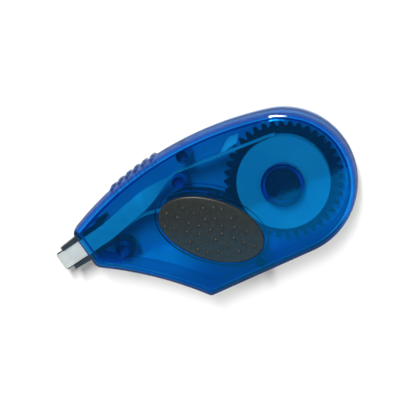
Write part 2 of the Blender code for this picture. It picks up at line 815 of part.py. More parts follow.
def tape_path():
    """Stations of the tape: centre and face normal, from the roll to the take-up reel."""
    offset = TAPE_GAP + TAPE_THICK / 2
    roll = Vector((0, 0))
    guide = Vector((ROLLER_X, ROLLER_Y))
    takeup = takeup_axis()
    up = Vector((0, 0, 1))
    stations = []

    first = tangent(roll, ROLL_RADIUS + offset, guide, ROLLER_RADIUS + offset)
    start = roll + first * (ROLL_RADIUS + offset)
    for i in range(3):
        turn = Matrix.Rotation(-0.10 * (2 - i), 2)
        normal = turn @ first
        spot = roll + normal * (ROLL_RADIUS + offset)
        stations.append((spot.to_3d() + up * TAPE_Z, normal.to_3d()))
    over = guide + first * (ROLLER_RADIUS + offset)
    for i in range(1, 5):
        stations.append((start.lerp(over, i / 4).to_3d() + up * TAPE_Z, first.to_3d()))

    front = TAPE_Z + BLADE_HALF + offset
    root = head_point(BLADE_START, 0, front)
    last = tangent(root.xy, 0.0, guide, ROLLER_RADIUS + offset)
    for i in range(1, 5):
        normal = first.slerp(last, i / 4)
        spot = guide + normal * (ROLLER_RADIUS + offset)
        stations.append((spot.to_3d() + up * TAPE_Z, normal.to_3d()))
    leave = stations[-1][0]
    for i in range(1, TWIST_STEPS + 1):
        share = i / TWIST_STEPS
        turn = ease((share - 0.02) / 0.62) * math.pi / 2
        spot = leave.lerp(root, share)
        spot.z = TAPE_Z + (front - TAPE_Z) * ease(share / 0.8)
        stations.append((spot, last.to_3d() * math.cos(turn) + up * math.sin(turn)))

    nose = NOSE_REACH - BLADE_TAPER
    stations.append((head_point(0.5 * (BLADE_START + nose), 0, front), up))
    stations.append((head_point(nose, 0, front), up))
    slope = math.atan2(BLADE_HALF - BLADE_TIP_HALF, HEAD_TIP - TIP_ROUND - nose)
    axis = head_point(1, 0, 0) - head_point(0, 0, 0)
    lean = axis * math.sin(slope) + up * math.cos(slope)
    tip = head_point(HEAD_TIP - TIP_ROUND, 0, TAPE_Z)
    bend = BLADE_TIP_HALF + offset
    for i in range(1, 4):
        share = i / 3
        spot = head_point(nose, 0, front).lerp(tip + lean * bend, share)
        stations.append((spot, lean))
    for i in range(1, 8):
        turn = slope + (math.pi / 2 - slope) * i / 4
        normal = axis * math.sin(turn) + up * math.cos(turn)
        stations.append((tip + normal * bend, normal))
    back = axis * math.sin(slope) - up * math.cos(slope)
    behind = TAPE_Z - BLADE_HALF - offset
    for i in range(3):
        share = i / 3
        stations.append(((tip + back * bend).lerp(head_point(nose, 0, behind), share), back))
    stations.append((head_point(nose, 0, behind), -up))
    stations.append((head_point(0.5 * (BLADE_START + nose), 0, behind), -up))

    root = head_point(BLADE_START, 0, behind)
    stations.append((root, -up))
    swing = head_point(BLADE_START - RETURN_SWING, 0, behind)
    above = tangent(swing.xy, 0.0, takeup, WINDING_RADIUS + offset)
    end = (takeup + above * (WINDING_RADIUS + offset)).to_3d() + up * TAPE_Z
    for i in range(1, TWIST_STEPS + 1):
        share = i / TWIST_STEPS
        turn = ease((share - 0.04) / 0.5) * math.pi / 2
        spot = root.lerp(swing, share).lerp(swing.lerp(end, share), share)
        spot.z = behind + (TAPE_Z - behind) * ease(share / 0.8)
        stations.append((spot, -up * math.cos(turn) - above.to_3d() * math.sin(turn)))
    return stations


def build_tape_strip():
    """The tape between the reels as one thin ribbon that twists to lie flat on the head.

    Both of its faces are split along the same diagonals, so that they stay apart in the twists.
    """
    stations = tape_path()
    verts = []
    for i, (spot, normal) in enumerate(stations):
        before = stations[max(i - 1, 0)][0]
        after = stations[min(i + 1, len(stations) - 1)][0]
        along = (after - before).normalized()
        across = along.cross(normal).normalized()
        face = across.cross(along).normalized()
        for rise in (0.5, -0.5):
            for side in (0.5, 0.0, -0.5):
                verts.append(spot + across * (side * TAPE_WIDTH) + face * (rise * TAPE_THICK))
    faces = []
    for i in range(len(stations) - 1):
        for j, k in ((0, 1), (1, 2), (3, 4), (4, 5), (2, 5), (3, 0)):
            low_j = 6 * i + j
            low_k = 6 * i + k
            faces.append((low_j, low_k, low_k + 6))
            faces.append((low_j, low_k + 6, low_j + 6))
    for first in (0, len(verts) - 6):
        faces.append((first, first + 1, first + 4, first + 3))
        faces.append((first + 1, first + 2, first + 5, first + 4))
    return make("tape_strip", verts, faces)


def set_origin(obj, x, y, z):
    """Move the object's origin to a point without moving its surface."""
    obj.data.transform(Matrix.Translation((-x, -y, -z)))
    obj.location = (x, y, z)


def middle():
    """Centre of the whole part's box seen from above."""
    points = outline(-SIDE_BULGE)
    reach = HEAD_TIP - TIP_ROUND + BLADE_TIP_HALF + TAPE_GAP + TAPE_THICK
    points += [tuple(head_point(reach, side * TAPE_WIDTH / 2, 0).xy) for side in (1, -1)]
    xs = [p[0] for p in points]
    ys = [p[1] for p in points]
    return Vector(((min(xs) + max(xs)) / 2, (min(ys) + max(ys)) / 2, 0))


def main():
    """Build every piece, give it its material and place the whole."""
    clear()
    blue = material("blue_clear_plastic", (0.0, 0.11, 0.42), 0.08, 0.9)
    black = material("black_plastic", (0.012, 0.013, 0.014), 0.4)
    rubber = material("dark_rubber", (0.045, 0.052, 0.050), 0.7)
    white = material("white_tape", (0.72, 0.75, 0.74), 0.55)
    film = material("carrier_film", (0.62, 0.66, 0.66), 0.45)
    pale = material("natural_plastic", (0.75, 0.76, 0.75), 0.45)
    sleeve = material("blue_plastic", (0.02, 0.10, 0.36), 0.35)
    axis = takeup_axis()
    tape_low = TAPE_Z - TAPE_WIDTH / 2
    gear_top = GEAR_Z + GEAR_THICK

    roll = build_winding("tape_roll", (0, 0), CORE_RADIUS + SEAT_GAP, ROLL_RADIUS, 64)
    clutch = build_ring(
        "clutch_ring",
        (0, 0),
        CLUTCH_INNER,
        CLUTCH_OUTER,
        gear_top + SEAT_GAP,
        gear_top + SEAT_GAP + CLUTCH_THICK,
        40,
    )
    winding = build_winding("takeup_winding", axis, TAKEUP_CORE + SEAT_GAP, WINDING_RADIUS, 36)
    roller = build_ring(
        "guide_roller",
        (ROLLER_X, ROLLER_Y),
        ROLLER_PIN + SEAT_GAP,
        ROLLER_RADIUS,
        core_low(),
        core_top(),
        24,
    )
    pieces = [
        (build_rear_shell(), blue, None),
        (build_front_shell(), blue, None),
        (build_grip("front_grip", False), rubber, None),
        (build_grip("rear_grip", True), rubber, None),
        (build_head(), black, None),
        (build_tape_strip(), white, None),
        (build_supply_gear(), black, (0, 0, GEAR_Z)),
        (build_supply_core(), pale, (0, 0, tape_low)),
        (clutch, rubber, (0, 0, gear_top)),
        (roll, white, (0, 0, tape_low)),
        (build_takeup_reel(), black, (axis.x, axis.y, GEAR_Z)),
        (winding, film, (axis.x, axis.y, tape_low)),
        (roller, sleeve, (ROLLER_X, ROLLER_Y, tape_low)),
    ]
    shift = middle()
    for obj, mat, origin in pieces:
        obj.data.materials.clear()
        obj.data.materials.append(mat)
        if origin:
            set_origin(obj, *origin)
        obj.location -= shift


main()
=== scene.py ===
import json
import math

import bmesh
import bpy
from mathutils import Matrix, Vector


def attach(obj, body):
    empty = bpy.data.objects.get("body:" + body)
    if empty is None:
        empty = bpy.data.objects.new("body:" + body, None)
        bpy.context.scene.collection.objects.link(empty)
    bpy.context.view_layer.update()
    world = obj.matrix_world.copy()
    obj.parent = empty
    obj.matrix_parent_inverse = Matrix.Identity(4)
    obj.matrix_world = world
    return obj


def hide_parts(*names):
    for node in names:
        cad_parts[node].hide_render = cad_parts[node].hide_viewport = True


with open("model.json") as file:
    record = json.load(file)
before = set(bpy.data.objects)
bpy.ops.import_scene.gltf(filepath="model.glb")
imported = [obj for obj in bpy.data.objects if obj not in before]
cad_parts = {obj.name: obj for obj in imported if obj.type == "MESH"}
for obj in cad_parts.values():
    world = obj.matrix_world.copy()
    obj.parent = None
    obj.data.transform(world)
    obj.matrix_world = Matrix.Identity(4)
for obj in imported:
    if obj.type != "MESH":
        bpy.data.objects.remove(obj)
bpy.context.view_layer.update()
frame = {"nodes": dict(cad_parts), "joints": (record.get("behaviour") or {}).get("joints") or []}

# Sizes of the part, in metres, laid out round the supply reel's axis

# Case outline
END_RADIUS = 0.02073
TOP_RADIUS = 0.09855
TOP_JOIN_DEG = 84.3
LOWER_SLOPE_DEG = 7.24
HOLLOW_RADIUS = 0.1068
KEEL_REACH = 0.0324
NOSE_REACH = 0.0581
NOSE_WIDTH = 0.0120
NOSE_TOP_CORNER = 0.0014
NOSE_LOW_CORNER = 0.0028
LOWER_CORNER = 0.0016
SMALLEST_CORNER = 0.00025
FINE_INSET = 0.000008  # keeps the finer outline inside the box of the solids

# Case walls and seam
THICKNESS = 0.0150
PARTING = 0.0075
WALL = 0.0014
EDGE_ROUND = 0.0014
EDGE_RUN = 0.0004  # flat row beside a rounded edge
SIDE_BULGE = 0.0005
INNER_ROUND = 0.0010
LIP_INSET = 0.00075
LIP_HEIGHT = 0.0008
SEAM_EASE = 0.00020
SEAM_HOLD = 1.3 * SEAM_EASE

# Gaps
SEAM_GAP = 0.0002
LIP_GAP = 0.00012
RUN_GAP = 0.00025
SEAT_GAP = 0.00015
TAPE_GAP = 0.0002
SLOT_GAP = 0.0003
CUT_PAST = 0.0010

# Tape and its windings
TAPE_WIDTH = 0.0050
TAPE_THICK = 0.0002
TAPE_Z = 0.0072
ROLL_RADIUS = 0.0135
ROLL_WRAP = 0.2  # radians of tape that still lie on the roll
CORE_RADIUS = 0.0070
CORE_MARGIN = 0.0002
LAYER_STEP = 0.0002
LAYER_PITCH = 0.00042
LAYER_DIP = 0.00003
WINDING_SINK = 0.00002
RETURN_SWING = 0.0095
# Shares of the way along a free stretch at which its twist starts, how long it lasts, and how long it climbs
OUT_TWIST = (0.02, 0.62)
BACK_TWIST = (0.04, 0.5)
CLIMB_SHARE = 0.8

# Gears, hubs and pins
MODULE = 0.00083
SUPPLY_TEETH = 40
TAKEUP_TEETH = 16
MESH_DEG = 192.0
HUB_RADIUS = 0.00475
HUB_TOP = 0.0120
HUB_CAP = 0.0010
SUPPLY_PIN = 0.0025
TAKEUP_PIN = 0.0019
TAKEUP_CORE = 0.0050
WINDING_RADIUS = 0.0060
ROLLER_X = -0.0281
ROLLER_Y = 0.0096
ROLLER_RADIUS = 0.0021
ROLLER_PIN = 0.0010
ROLLER_STEP = 0.0003
POST_RADIUS = 0.00175
TOP_POST = (-0.0246, 0.0163)
LOW_POST = (-0.0128, -0.0196)
LOW_POST_RADIUS = 0.0014
EYE_PIN = 0.0019
PIN_EASE = 0.00025
RIB_THICK = 0.0009
RING_WALL = 0.0012

# Head
HEAD_DEG = 196.7
HEAD_DROP = 0.00563
HEAD_PROUD = 0.0093
TIP_ROUND = 0.0002
BLADE_TAIL = 0.0076
BLADE_HALF = 0.0019
BLADE_TIP_HALF = 0.0003
BLADE_TAPER = 0.0006
BLADE_EDGE = 0.00035
CHEEK_THICK = 0.0010
CHEEK_FLARE = 0.0005
CHEEK_HALF = 0.0027
EYE_TAIL = 0.0092
EYE_DROP = 0.0067
EYE_HEIGHT = 0.0036
FOOT_TAIL = 0.0066
SLOT_DEPTH = 0.0040

# Grips
GRIP_X = -0.0232
GRIP_Y = -0.0058
GRIP_LONG = 0.0156
GRIP_SHORT = 0.00875
GRIP_TURN_DEG = -36.0
GRIP_SEAT = 0.0013
GRIP_PROUD = 0.0005
GRIP_CROWN = 0.0004
REAR_SEAT = 0.0010
PAD_EDGE = 0.0005
REAR_PAD_EDGE = 0.00018
PAD_HOLD = 1.3  # shares of the edge's rounding that the side row keeps clear of it
POCKET_FLOOR = 0.0010
POCKET_WALL = 0.0013
POCKET_EASE = 0.0003
BUMP_RADIUS = 0.0006
BUMP_HEIGHT = 0.0004
BUMP_SINK = 0.00007
BUMP_ROOT = 0.0002
BUMP_ROOT_WIDE = 1.1
BUMP_FOOT_WIDE = 1.12
# Places of the bumps, as shares of the oval's half length and half width
BUMPS = [
    (-0.61, 0.38), (-0.39, 0.34), (-0.25, 0.59), (-0.08, 0.72), (0.07, 0.74), (-0.86, 0.05),
    (-0.65, 0.03), (-0.15, 0.26), (0.01, 0.38), (0.29, 0.56), (-0.42, -0.03), (-0.23, 0.0),
    (0.17, 0.24), (0.40, 0.31), (-0.64, -0.34), (-0.81, -0.38), (-0.40, -0.33), (-0.17, -0.26),
    (-0.01, -0.01), (0.21, -0.01), (0.44, -0.02), (0.63, 0.30), (-0.29, -0.61), (-0.02, -0.40),
    (0.14, -0.27), (0.38, -0.35), (0.65, -0.07), (0.85, -0.08), (-0.11, -0.77), (0.07, -0.77),
    (0.25, -0.62), (0.61, -0.41),
]

# Thumb ridges
RIDGE_COUNT = 6
RIDGE_FIRST_DEG = 105.2
RIDGE_STEP_DEG = 1.67
RIDGE_RADIUS = 0.00065
RIDGE_RISE = 0.00005
RIDGE_ROWS = 12
RIDGE_DOME = 0.3  # share of a ridge's length that its domed end takes
RIDGE_TIP = 0.2  # share of its radius that is left at the end

# Arrow window
ARROW_RADIUS = 0.0186
ARROW_HALF = 0.0014
ARROW_HEAD_HALF = 0.0017
ARROW_TIP_DEG = 117.5
ARROW_HEAD_DEG = 127.5
ARROW_TAIL_DEG = 147.0
ARROW_STEPS = 24

# Meshes: angles past which an edge stays sharp, distances within which points are one
SMOOTH_DEG = 32.0
PAD_SMOOTH_DEG = 40.0
WINDING_SMOOTH_DEG = 25.0
POINT_WELD = 1e-8

# Fine edges of the pieces that are copied from the solids
SOLID_WELD = 2e-6
FLAT_DEG = 0.5
CREASE_DEG = 35.0
FINE_BEVEL = 0.0001
HEAD_BEVEL = 0.00012

# Worked out from the sizes above
HEAD_TIP = NOSE_REACH + HEAD_PROUD
BLADE_START = NOSE_REACH - BLADE_TAIL
BLADE_WIDTH = TAPE_WIDTH + 2 * BLADE_EDGE
FOOT_END = NOSE_REACH - FOOT_TAIL

JOINTS = {joint["name"]: Vector(joint["pos_m"]) for joint in frame["joints"]}
SHIFT = Vector((JOINTS["supply_gear_spin"].x, JOINTS["supply_gear_spin"].y, 0.0))

# Tints of the clear case, each as two tones that a faint flow mixes, and the light that a wall lets through
OUTSIDE_WALL = ((0.03, 0.46, 0.93), (0.04, 0.52, 0.98))
INSIDE_WALL = ((0.004, 0.090, 0.40), (0.005, 0.11, 0.46))
ROUNDED_EDGE = ((0.002, 0.045, 0.30), (0.003, 0.055, 0.35))
# Painted shade: the faces' tint deepens towards the keel, where shadow falls under the case
KEEL_PAINTED_SHADE = ((0.004, 0.10, 0.56), (0.008, 0.13, 0.62))
# Painted shade: a deeper tint in a band round the parting line, drawing the seam's dark line and darkening
# light there
SEAM_PAINTED_SHADE = ((0.002, 0.13, 0.42), (0.003, 0.16, 0.48))
WALL_SHADE = ((0.81, 0.74, 0.79), (0.83, 0.76, 0.81))
TONE_ENDS = (0.3, 0.7)
FLOW_SCALE = 70.0
RIPPLE_SCALE = 260.0
RIPPLE_HEIGHT = 0.000006
CASE_MIDDLE = Vector((-0.018, -0.002, 0.0))
# Span across the case over which the painted shade at the keel fades in
KEEL_SHADE_FADE = (-0.0125, -0.0200)
ROUNDED_FADE = (0.15, 0.40)  # of the normal's upward share
LEVEL_FADE = (0.88, 1.0)

# Studio
FLOOR_HALF = 1.5
FLOOR_DROP = 0.0002
FLOOR_WHITE = 0.96
SURROUND_TONES = ((0.61, 0.61, 0.61), (0.02, 0.02, 0.02))
SURROUND_ENDS = (0.72, 0.90)  # heights on the unit sphere between which it fades
KEY_TARGET = Vector((-0.012, 0.0, THICKNESS))
KEY_WAY = Vector((0.0409, 0.4677, 0.8829))
KEY_DISTANCE = 1.2
KEY_SIZE = (0.14, 0.5)
KEY_RADIANCE = 67.0
CARD_EDGE = (Vector((-0.1577, -0.1022, 0.515)), Vector((-0.0124, -0.0872, 0.515)))
CARD_SIZE = (1.0, 0.5)
CARD_RADIANCE = 2.2
CARD_BLUE = (0.0, 0.5, 1.0)
VIEW_RIGHT = Vector((0.94344, -0.31801, -0.09375))
VIEW_UP = Vector((0.29382, 0.93297, -0.20791))
VIEW_TARGET = Vector((-0.022905, -0.001668, PARTING))
VIEW_DISTANCE = 0.45
SENSOR_WIDTH = 36.0
LENS = 133.6
CLIP_START = 0.01


# Mesh helpers


def make(name, verts, faces, smooth_deg=SMOOTH_DEG):
    """A mesh object with its faces turned outwards, smooth except at sharp edges."""
    mesh = bpy.data.meshes.new(name)
    mesh.from_pydata([tuple(v) for v in verts], [], faces)
    work = bmesh.new()
    work.from_mesh(mesh)
    bmesh.ops.remove_doubles(work, verts=work.verts, dist=POINT_WELD)
    bmesh.ops.recalc_face_normals(work, faces=work.faces)
    work.to_mesh(mesh)
    work.free()
    obj = bpy.data.objects.new(name, mesh)
    bpy.context.scene.collection.objects.link(obj)
    soften(obj, smooth_deg)
    return obj


def soften(obj, smooth_deg):
    """Smooth shading that keeps edges sharper than an angle."""
    for face in obj.data.polygons:
        face.use_smooth = True
    obj.data.set_sharp_from_angle(angle=math.radians(smooth_deg))


def loft_parts(rings, closed=False):
    """Points and faces that skin rings of equal length."""
    count = len(rings[0])
    verts = [p for ring in rings for p in ring]
    faces = []
    spans = len(rings) if closed else len(rings) - 1
    for i in range(spans):
        low = i * count
        high = ((i + 1) % len(rings)) * count
        for j in range(count):
            k = (j + 1) % count
            faces.append((low + j, low + k, high + k, high + j))
    if not closed:
        faces.append(tuple(range(count)))
        faces.append(tuple(range((len(rings) - 1) * count, len(rings) * count)))
    return verts, faces


def joined(parts):
    """Several point and face lists as one."""
    verts = []
    faces = []
    for more_verts, more_faces in parts:
        first = len(verts)
        verts += more_verts
        faces += [tuple(first + i for i in face) for face in more_faces]
    return verts, faces


def lift(points, z):
    """Flat points as a ring at height z."""
    return [(x, y, z) for x, y in points]


def circle(x, y, radius, steps):
    """Points of a circle."""
    ways = [2 * math.pi * i / steps for i in range(steps)]
    return [(x + radius * math.cos(a), y + radius * math.sin(a)) for a in ways]


def turned(x, y, profile, steps=48, hollow=False):
    """A turned piece from (radius, height) pairs; hollow joins the last pair to the first."""
    return loft_parts([lift(circle(x, y, r, steps), z) for r, z in profile], hollow)


def prism(points, low, high):
    """A flat outline raised from low to high."""
    return loft_parts([lift(points, low), lift(points, high)])


def bar(start, end, width, low, high):
    """A straight rib between two flat points."""
    along = (Vector(end) - Vector(start)).normalized()
    side = Vector((-along.y, along.x)) * width / 2
    corners = [Vector(start) + side, Vector(end) + side, Vector(end) - side, Vector(start) - side]
    return prism([(c.x, c.y) for c in corners], low, high)


def combine(base, parts, operation, index=0):
    """Join base with, or cut it by, closed pieces; their faces take a material index."""
    tool = make("tool", *joined(parts))
    for obj in (base, tool):
        while len(obj.data.materials) < 2:
            obj.data.materials.append(None)
    for face in tool.data.polygons:
        face.material_index = index
    step = base.modifiers.new("step", "BOOLEAN")
    step.operation = operation
    step.solver = "EXACT"
    step.object = tool
    graph = bpy.context.evaluated_depsgraph_get()
    mesh = bpy.data.meshes.new_from_object(base.evaluated_get(graph))
    base.modifiers.clear()
    old = base.data
    base.data = mesh
    bpy.data.meshes.remove(old)
    old = tool.data
    bpy.data.objects.remove(tool, do_unlink=True)
    bpy.data.meshes.remove(old)


def refined(node, bevel):
    """A copy of a CAD node with its facets joined, its edges eased and its curves smooth."""
    mesh = frame["nodes"][node].data.copy()
    mesh.name = node + "_fine"
    work = bmesh.new()
    work.from_mesh(mesh)
    bmesh.ops.remove_doubles(work, verts=work.verts, dist=SOLID_WELD)
    bmesh.ops.dissolve_limit(work, angle_limit=math.radians(FLAT_DEG), verts=work.verts, edges=work.edges)
    work.to_mesh(mesh)
    work.free()
    obj = bpy.data.objects.new(node + "_fine", mesh)
    bpy.context.scene.collection.objects.link(obj)
    soften(obj, CREASE_DEG)
    ease = obj.modifiers.new("ease", "BEVEL")
    ease.width = bevel
    ease.segments = 2
    ease.limit_method = "ANGLE"
    ease.angle_limit = math.radians(CREASE_DEG)
    ease.harden_normals = True
    return obj


# Outline of the case


def arc(cx, cy, radius, start, end, steps):
    """Points along an arc, without the last one."""
    ways = [start + (end - start) * i / steps for i in range(steps)]
    return [(cx + radius * math.cos(a), cy + radius * math.sin(a)) for a in ways]


def arc_point(cx, cy, radius, turn):
    """The one point of an arc at an angle, as a list."""
    return arc(cx, cy, radius, turn, turn + 1, 1)


def meet(centre, radius, point, normal, side):
    """Where a circle meets the line through point across normal."""
    reach = (point - centre).dot(normal)
    half = math.sqrt(radius * radius - reach * reach)
    return centre + normal * reach + Vector((-normal.y, normal.x)) * (side * half)


def angle(centre, point):
    """Direction of point from centre, from 0 to a full turn."""
    return math.atan2(point.y - centre.y, point.x - centre.x) % (2 * math.pi)


def way(degrees):
    """Unit vector at an angle."""
    return Vector((math.cos(math.radians(degrees)), math.sin(math.radians(degrees))))


NOSE = way(HEAD_DEG)
ACROSS = Vector((NOSE.y, -NOSE.x))
DOWN = way(LOWER_SLOPE_DEG - 90.0)
TOP_CENTRE = way(TOP_JOIN_DEG) * (END_RADIUS - TOP_RADIUS)
NOSE_TOP = meet(TOP_CENTRE, TOP_RADIUS, NOSE * NOSE_REACH, NOSE, -1)


def hollow_centre():
    """Centre of the hollow arc that runs from the nose to the keel."""
    low = NOSE_TOP - ACROSS * NOSE_WIDTH
    keel = DOWN * END_RADIUS - Vector((-DOWN.y, DOWN.x)) * KEEL_REACH
    half = (keel - low) / 2
    reach = math.sqrt(HOLLOW_RADIUS * HOLLOW_RADIUS - half.length_squared)
    return low + half + Vector((half.y, -half.x)).normalized() * reach


HOLLOW = hollow_centre()


def outline(inset):
    """The case outline moved inwards by inset, always with the same number of points."""
    inset += FINE_INSET
    join = math.radians(TOP_JOIN_DEG)
    low_turn = math.atan2(DOWN.y, DOWN.x)
    nose_turn = math.radians(HEAD_DEG)
    upper = max(NOSE_TOP_CORNER - inset, SMALLEST_CORNER)
    upper_at = meet(TOP_CENTRE, TOP_RADIUS - inset - upper, NOSE * (NOSE_REACH - inset - upper), NOSE, -1)
    lower = max(NOSE_LOW_CORNER - inset, SMALLEST_CORNER)
    lower_at = meet(HOLLOW, HOLLOW_RADIUS + inset + lower, NOSE * (NOSE_REACH - inset - lower), NOSE, -1)
    keel = max(LOWER_CORNER - inset, SMALLEST_CORNER)
    keel_at = meet(HOLLOW, HOLLOW_RADIUS + inset + keel, DOWN * (END_RADIUS - inset - keel), DOWN, 1)
    upper_turn = angle(TOP_CENTRE, upper_at)
    lower_turn = angle(HOLLOW, lower_at)
    keel_turn = angle(HOLLOW, keel_at)
    points = arc(0, 0, END_RADIUS - inset, low_turn, join, 84)
    points += arc(*TOP_CENTRE, TOP_RADIUS - inset, join, upper_turn, 56)
    points += arc(*upper_at, upper, upper_turn, nose_turn, 8)
    points += arc_point(*upper_at, upper, nose_turn)
    points += arc(*lower_at, lower, nose_turn, lower_turn + math.pi, 10)
    points += arc(*HOLLOW, HOLLOW_RADIUS + inset, lower_turn, keel_turn, 40)
    points += arc(*keel_at, keel, keel_turn + math.pi, low_turn + 2 * math.pi, 8)
    points += arc_point(*keel_at, keel, low_turn)
    return points


def quarter(steps):
    """Sine and cosine pairs over a quarter turn, for rounded edges."""
    ways = [math.pi / 2 * i / steps for i in range(steps + 1)]
    return [(math.sin(a), math.cos(a)) for a in ways]


# Pieces of the case


def shell(name, rear):
    """One half of the case as a cup, with a lip (rear) or a rebate for it (front) at the seam.

    Its rows are pairs of inset from the outline and height above the outer face.
    """
    seam = PARTING - SEAM_GAP / 2 if rear else THICKNESS - PARTING - SEAM_GAP / 2
    lean = math.atan(2 * SIDE_BULGE / (seam - EDGE_ROUND))
    rows = [(EDGE_ROUND * math.cos(lean) + EDGE_RUN, 0.0)]
    for i in range(11):
        turn = (math.pi / 2 - lean) * i / 10
        rows.append((EDGE_ROUND * (math.cos(lean) - math.sin(turn)), EDGE_ROUND * (1 - math.cos(turn))))
    low = rows[-1][1]
    for i in range(1, 8):
        rows.append((-SIDE_BULGE * (1 - (1 - i / 8) ** 2), low + (seam - low) * i / 8))
    rows += [(-SIDE_BULGE, seam - SEAM_HOLD), (-SIDE_BULGE, seam - SEAM_EASE)]
    rows.append((SEAM_EASE - SIDE_BULGE, seam))
    lip = LIP_INSET - SIDE_BULGE
    inner = WALL - SIDE_BULGE
    if rear:
        rows += [(lip, seam), (lip, seam + LIP_HEIGHT), (inner, seam + LIP_HEIGHT)]
    else:
        depth = LIP_HEIGHT + SEAM_GAP
        rows += [(lip - LIP_GAP, seam), (lip - LIP_GAP, seam - depth), (inner, seam - depth)]
    rows.append((WALL, WALL + INNER_ROUND + EDGE_RUN))
    for s, c in reversed(quarter(6)):
        rows.append((WALL + INNER_ROUND * (1 - s), WALL + INNER_ROUND * (1 - c)))
    rows.append((WALL + INNER_ROUND + EDGE_RUN, WALL))
    rings = [lift(outline(inset), rise if rear else THICKNESS - rise) for inset, rise in rows]
    return make(name, *loft_parts(rings))


def oval(grow=0.0, scale=1.0, steps=96):
    """The grip's oval, grown all round by a length and scaled about its centre."""
    turn = Matrix.Rotation(math.radians(GRIP_TURN_DEG), 2)
    points = []
    for i in range(steps):
        a = 2 * math.pi * i / steps
        spot = turn @ (Vector(((GRIP_LONG + grow) * math.cos(a), (GRIP_SHORT + grow) * math.sin(a))) * scale)
        points.append((GRIP_X + spot.x, GRIP_Y + spot.y))
    return points


def pocket(body, rear):
    """A bulge inside the wall and the oval pocket cut into it from outside."""
    seat = REAR_SEAT if rear else GRIP_SEAT
    levels = [WALL / 2, seat + POCKET_FLOOR - POCKET_EASE, seat + POCKET_FLOOR]
    rings = []
    for depth, grow in zip(levels, (POCKET_WALL, POCKET_WALL, POCKET_WALL - POCKET_EASE)):
        rings.append(lift(oval(grow), depth if rear else THICKNESS - depth))
    combine(body, [loft_parts(rings)], "UNION")
    cut = [lift(oval(SEAT_GAP), z if rear else THICKNESS - z) for z in (-CUT_PAST, seat)]
    combine(body, [loft_parts(cut)], "DIFFERENCE")


def ridges(seam, face):
    """Thumb ridges across the bulged top edge of one shell, from the seam to near its face."""
    parts = []
    for i in range(RIDGE_COUNT):
        out = way(RIDGE_FIRST_DEG + i * RIDGE_STEP_DEG)
        rings = []
        for row in range(RIDGE_ROWS + 1):
            share = row / RIDGE_ROWS
            spot = TOP_CENTRE + out * (TOP_RADIUS + RIDGE_RISE + SIDE_BULGE * (1 - share * share))
            past = max(0.0, (share - 1 + RIDGE_DOME) / RIDGE_DOME)
            radius = RIDGE_RADIUS * max(RIDGE_TIP, math.sqrt(1 - past * past))
            rings.append(lift(circle(*spot, radius, 20), seam + (face - seam) * share))
        parts.append(loft_parts(rings))
    return parts


def head_point(along, across, z):
    """A point in the head's own layout: along its axis, across it, and up."""
    spot = NOSE * along + ACROSS * (NOSE_TOP.dot(ACROSS) - HEAD_DROP + across)
    return Vector((spot.x, spot.y, z))


def head_slot():
    """The opening in the nose that the head passes through."""
    side = BLADE_WIDTH / 2 + CHEEK_THICK + CHEEK_FLARE + SLOT_GAP
    half = CHEEK_HALF + SLOT_GAP
    section = [(NOSE_REACH - SLOT_DEPTH, half), (NOSE_REACH + CUT_PAST, half)]
    section += [(a, -h) for a, h in reversed(section)]
    return loft_parts([[head_point(a, s, TAPE_Z + h) for a, h in section] for s in (-side, side)])


TAKEUP = way(MESH_DEG) * (MODULE * (SUPPLY_TEETH + TAKEUP_TEETH) / 2)
EYE = head_point(NOSE_REACH - EYE_TAIL, -EYE_DROP, 0).xy
CORE_LOW = TAPE_Z - TAPE_WIDTH / 2 - CORE_MARGIN
CORE_TOP = TAPE_Z + TAPE_WIDTH / 2 + CORE_MARGIN


def arrow_points():
    """Outline of the curved arrow in the rear wall, whose shaft narrows to its tail."""
    tip = math.radians(ARROW_TIP_DEG)
    barb = math.radians(ARROW_HEAD_DEG)
    tail = math.radians(ARROW_TAIL_DEG)
    points = arc(0, 0, ARROW_RADIUS + ARROW_HALF, barb, tail, ARROW_STEPS)
    for i in range(ARROW_STEPS + 1):
        share = i / ARROW_STEPS
        spot = way(math.degrees(tail + (barb - tail) * share))
        spot *= ARROW_RADIUS + ARROW_HALF * (1 - 2 * share)
        points.append((spot.x, spot.y))
    points += arc_point(0, 0, ARROW_RADIUS - ARROW_HEAD_HALF, barb)
    points += arc_point(0, 0, ARROW_RADIUS, tip)
    points += arc_point(0, 0, ARROW_RADIUS + ARROW_HEAD_HALF, barb)
    return points


def pin(x, y, radius, low, high):
    """A pin with an eased end at high."""
    ease = PIN_EASE if high > low else -PIN_EASE
    return turned(x, y, [(radius, low), (radius, high - ease), (radius - PIN_EASE, high)], 40)


